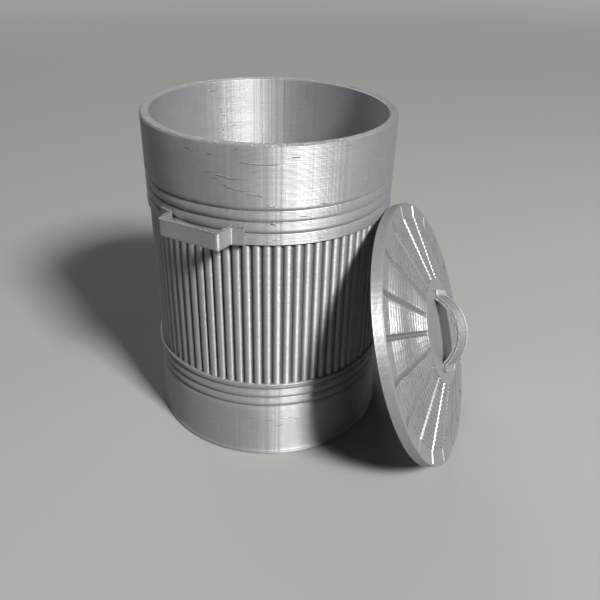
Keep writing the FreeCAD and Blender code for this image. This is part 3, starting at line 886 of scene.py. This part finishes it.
def lid_columns(lid, radius):
    """Angles of the lid's columns at each row: rows by columns.

    Columns over a channel keep their distance from its middle, so a channel's walls run parallel; the
    others share out the panel between. Also returned is that distance, capped at the last of them.
    """
    mouth_shares = [0.05, 0.09, 0.3, 0.42, 0.47, 0.52, 0.57, 0.63]
    panel_strips = 11
    across = lid.channel * np.array(mouth_shares)
    across = np.concatenate([-across[::-1], across])
    pitch = TAU / lid.channels
    reach = np.maximum(radius, LID_MIDDLE)[:, None]
    over = across[None, :] / reach
    share = np.linspace(0, 1, panel_strips + 1)[None, 1:-1]
    between = over[:, -1:] + share * (pitch - 2 * over[:, -1:])
    sector = np.concatenate([over, between], 1)
    angle = np.arange(lid.channels)[None, :, None] * pitch + sector[:, None, :]
    beside = np.concatenate([np.abs(across), np.full(share.shape[1], across[-1])])
    return angle.reshape(len(radius), -1), np.tile(beside, lid.channels)


def channel_floor(lid, radius, beside):
    """Level of the channels at each row and column.

    A channel is a trough whose bottom follows the border and the cone, and whose walls climb evenly from
    the flat bottom to the mouth.
    """
    face = lid.skirt + lid.bevel_rise
    cone = lid.radius - lid.bevel_width - lid.border
    end = lid.hub - lid.setback
    line = face + lid.rise * np.clip((cone - radius) / (cone - end), 0, 1)
    run = (lid.channel - lid.channel_floor) / 2
    wall = lid.channel_depth * np.maximum(beside - lid.channel_floor / 2, 0) / run
    return line[:, None] - lid.channel_depth + wall[None, :]


class BIN_OT_lid(bpy.types.Operator):
    """Builds the lid with its layered skirt, terraces of laid beads and radial channels"""

    bl_idname = "bin.lid"
    bl_label = "Lid"

    def execute(self, context):
        lid, seed = context.scene.bin_lid, context.scene.bin_finish.seed
        radius, height, share = lid_profile(lid)
        angle, beside = lid_columns(lid, radius)
        row = np.arange(len(radius))
        # Beads stray sideways and up by so much, in waves of so many to the turn, a few rows alike
        waves = np.arange(23, 160, 9)
        stray, rise, rise_seed = 0.06 * MM, 0.04 * MM, 100
        ripple = np.stack([wobble(angle[r], seed + r // 3, waves, stray) for r in row])
        lift = np.stack([wobble(angle[r], rise_seed + r // 2, waves, rise) for r in row])
        reach = radius[:, None] + ripple * share[:, None]
        level = height[:, None] + lift * share[:, None]
        edge = lid.radius - lid.bevel_width - lid.setback
        on_face = (radius <= edge) & (radius >= lid.hub - lid.setback) & (height > lid.skirt)
        on_face &= row > np.argmax(radius)
        trough = channel_floor(lid, radius, beside)
        cut = on_face[:, None] & (trough < level)
        reach = np.where(cut, radius[:, None], reach)
        level = np.where(cut, trough, level)
        points, quads, triangles = turned_shape(reach, level, angle)
        piece = put_mesh("printed_lid", stood(points), quads, triangles, lid_finish())
        beads = (on_face & (radius > lid.hub))[:, None] & ~cut
        mark_points(piece, "beads", beads)
        # Channels stay smooth and get some painted shade
        mark_points(piece, "slick", cut)
        settle(piece, "lid", "lid_shell")
        return {"FINISHED"}


def strap_rings(lid, strap):
    """Rings of the strap: a layered section carried along tab, arch and tab.

    The arch is a circular arc whose middle line has radius arch - thickness/2. The tabs lie flat on the
    hub, on a film of glue, and narrow a little at their ends.
    """
    film, bend, corner, groove = 0.05 * MM, 1.0 * MM, 0.3 * MM, 0.45 * MM
    hair = 1e-6
    seat = lid.skirt + lid.bevel_rise + lid.rise + film
    mean = strap.arch - strap.thickness / 2
    drop = strap.arch - strap.height
    tab_line = strap.tab / 2
    foot_x = math.sqrt(mean ** 2 - (drop + tab_line) ** 2)
    spread = math.asin(foot_x / mean)
    angle = np.linspace(-spread, spread, 25)
    arch = np.stack([mean * np.sin(angle), mean * np.cos(angle) - drop], 1)
    corners = np.concatenate([[(-strap.reach, tab_line)], arch, [(strap.reach, tab_line)]])
    radii = [bend] + [0] * (len(arch) - 2) + [bend]
    path = rounded_path(corners, radii, 6)
    ends = np.array([[0.12 * MM, 0], [0.4 * MM, 0]])
    path = np.concatenate([path[:1], path[:1] + ends, path[1:-1], path[-1:] - ends[::-1], path[-1:]])
    normal = path_normals(path)
    thick = np.where(path[:, 1] < tab_line + hair, strap.tab, strap.thickness) / 2
    thick = np.convolve(np.pad(thick, 2, mode="edge"), np.ones(5) / 5, mode="valid")
    narrow = np.ones(len(path))
    narrow[[0, -1]], narrow[[1, -2]] = 0.93, 0.98
    half_width = strap.width / 2
    section, drawn = layered_box(
        strap.thickness / 2, -half_width, half_width, corner, strap.ridge, groove)
    offset = section[None, :, 0] * thick[:, None] - np.sign(section[None, :, 0]) * drawn[None, :]
    plane = path[:, None, :] + offset[..., None] * normal[:, None, :]
    across = section[None, :, 1] * narrow[:, None]
    return np.stack([plane[..., 0], across, plane[..., 1] + seat], -1)


class BIN_OT_strap(bpy.types.Operator):
    """Builds the strap handle with layers along its arch and tabs on the hub"""

    bl_idname = "bin.strap"
    bl_label = "Lid handle"

    def execute(self, context):
        rings = strap_rings(context.scene.bin_lid, context.scene.bin_strap)
        points, quads, triangles = swept_shape(rings[:, ::-1])
        piece = put_mesh("strap_handle", stood(points), quads, triangles, strap_finish(), sharp=50)
        settle(piece, "lid", "lid_handle")
        return {"FINISHED"}


# Stage


# Floor: half its side, its drop below the base, the radii over which it fades out, and its roughness
FLOOR_HALF = 3.0
FLOOR_DROP = 0.1 * MM
FADE_START = 0.3
FADE_END = 1.6
PAPER_ROUGHNESS = 0.9
# Light of the room on the object, and what the object's sheen mirrors of the backdrop
ROOM_LIGHT = 0.05
ROOM_SHEEN = 0.25
# Lamps: name, bearing and height in degrees, distance and side in metres, power in watts
LAMPS = (("key", -23, 42, 1.6, 0.30, 36.0), ("fill", 140, 40, 1.8, 1.0, 7.0))
LAMP_AIM = Vector((0.012, 0, 0.05))
# Camera of the photograph: lens and film in millimetres, place in radii of the can, angles in radians
LENS = 40.12
SENSOR = 36.0
CAMERA_PLACE = Vector((0.2754, -5.2486, 4.0772))
CAMERA_SWING = math.radians(27.45)
CAMERA_TILT = 0.53875
CAMERA_ROLL = 0.02757
NEAR_CLIP = 0.01


def matt_paper(finish):
    """Matt paper of the floor: no gloss, only a pale ground that keeps the shadow.

    It is pale to the camera and in reflections, and throws back less light than that. Far out it fades
    into the plain colour of the backdrop.
    """
    paper = bpy.data.materials.new("matt_paper")
    paper.use_nodes = True
    tree = paper.node_tree
    shader = tree.nodes["Principled BSDF"]
    rays = add(tree, "ShaderNodeLightPath").node.outputs
    seen = add(
        tree, "ShaderNodeMath", {0: rays["Is Camera Ray"], 1: rays["Is Glossy Ray"]},
        operation="MAXIMUM")
    tint = add(
        tree, "ShaderNodeMix",
        {0: seen, 6: to_linear(finish.bounce), 7: to_linear(finish.floor)}, data_type="RGBA"
    ).node.outputs[2]
    tree.links.new(tint, shader.inputs["Base Color"])
    shader.inputs["Roughness"].default_value = PAPER_ROUGHNESS
    spot = add(tree, "ShaderNodeTexCoord").node.outputs["Object"]
    away = add(tree, "ShaderNodeVectorMath", {0: spot}, operation="LENGTH").node.outputs["Value"]
    far = add(
        tree, "ShaderNodeMapRange", {"Value": away, "From Min": FADE_START, "From Max": FADE_END},
        interpolation_type="SMOOTHSTEP")
    far = add(tree, "ShaderNodeMath", {0: far, 1: seen}, operation="MULTIPLY")
    backdrop = add(tree, "ShaderNodeEmission", {"Color": to_linear(finish.floor)})
    surface = add(tree, "ShaderNodeMixShader", {0: far, 1: shader.outputs["BSDF"], 2: backdrop})
    tree.links.new(surface, tree.nodes["Material Output"].inputs["Surface"])
    return paper


def soft_room(finish):
    """World in the floor's colour: plain to the camera, weak in reflections and weaker as a light."""
    world = bpy.data.worlds.new("soft_room")
    world.use_nodes = True
    tree = world.node_tree
    back = tree.nodes["Background"]
    back.inputs["Color"].default_value = to_linear(finish.floor)
    rays = add(tree, "ShaderNodeLightPath").node.outputs
    level = add(
        tree, "ShaderNodeMath", {0: rays["Is Camera Ray"], 1: 1 - ROOM_LIGHT, 2: ROOM_LIGHT},
        operation="MULTIPLY_ADD")
    level = add(
        tree, "ShaderNodeMath", {0: rays["Is Glossy Ray"], 1: ROOM_SHEEN, 2: level},
        operation="MULTIPLY_ADD")
    tree.links.new(level, back.inputs["Strength"])
    return world


class BIN_OT_stage(bpy.types.Operator):
    """Sets up the floor, the room, the lamps and the camera"""

    bl_idname = "bin.stage"
    bl_label = "Stage"

    def execute(self, context):
        scene = context.scene
        finish = scene.bin_finish
        scene.view_settings.view_transform = "Standard"
        corners = np.array([[-1, -1, 0], [1, -1, 0], [1, 1, 0], [-1, 1, 0]]) * FLOOR_HALF
        no_triangles = np.zeros((0, 3), int)
        floor = put_mesh(
            "floor", corners - [0, 0, FLOOR_DROP], np.array([[0, 1, 2, 3]]), no_triangles,
            matt_paper(finish))
        scene.world = soft_room(finish)

        for name, bearing, rise, away, side, power in LAMPS:
            lamp = bpy.data.lights.new(name, "AREA")
            lamp.size = side
            lamp.energy = power
            stand = bpy.data.objects.new(name, lamp)
            a, e = math.radians(bearing), math.radians(rise)
            way = Vector((math.cos(a) * math.cos(e), math.sin(a) * math.cos(e), math.sin(e)))
            stand.location = LAMP_AIM + way * away
            stand.rotation_euler = way.to_track_quat("Z", "Y").to_euler()
            scene.collection.objects.link(stand)

        camera = bpy.data.objects.new("camera", bpy.data.cameras.new("camera"))
        camera.data.sensor_width = SENSOR
        camera.data.lens = LENS
        camera.data.clip_start = NEAR_CLIP
        swing = Matrix.Rotation(CAMERA_SWING, 4, "Z")
        place = Matrix.Translation(CAMERA_PLACE * scene.bin_can.radius)
        tilt = Matrix.Rotation(math.pi / 2 - CAMERA_TILT, 4, "X")
        roll = Matrix.Rotation(CAMERA_ROLL, 4, "Z")
        camera.matrix_world = swing @ place @ tilt @ roll
        scene.collection.objects.link(camera)
        scene.camera = camera
        return {"FINISHED"}


# Panel, registration and run


class BIN_PT_panel(bpy.types.Panel):
    """Lists the pieces and their sizes"""

    bl_idname = "BIN_PT_panel"
    bl_label = "Desk-size trash can"
    bl_space_type = "VIEW_3D"
    bl_region_type = "UI"
    bl_category = "Desk bin"

    def draw(self, context):
        for operator in OPERATORS:
            self.layout.operator(operator.bl_idname)
        for place in GROUPS:
            group = getattr(context.scene, place)
            box = self.layout.box()
            for name in group.bl_rna.properties.keys():
                if name not in ("name", "rna_type"):
                    box.prop(group, name)


GROUPS = {
    "bin_can": CanSizes,
    "bin_bracket": BracketSizes,
    "bin_lid": LidSizes,
    "bin_strap": StrapSizes,
    "bin_finish": PrintFinish,
}
OPERATORS = (BIN_OT_can, BIN_OT_brackets, BIN_OT_scars, BIN_OT_lid, BIN_OT_strap, BIN_OT_stage)


def register():
    """Registers the classes and hangs the sizes on the scene."""
    for made in (*GROUPS.values(), *OPERATORS, BIN_PT_panel):
        bpy.utils.register_class(made)
    for name, group in GROUPS.items():
        setattr(bpy.types.Scene, name, PointerProperty(type=group))


def unregister():
    """Takes the sizes off the scene and removes the classes."""
    for name in GROUPS:
        delattr(bpy.types.Scene, name)
    for made in (BIN_PT_panel, *OPERATORS[::-1], *list(GROUPS.values())[::-1]):
        bpy.utils.unregister_class(made)


def main():
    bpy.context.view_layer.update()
    register()
    bpy.ops.bin.can()
    bpy.ops.bin.brackets()
    bpy.ops.bin.scars()
    bpy.ops.bin.lid()
    bpy.ops.bin.strap()
    bpy.ops.bin.stage()


if __name__ == "__main__":
    main()
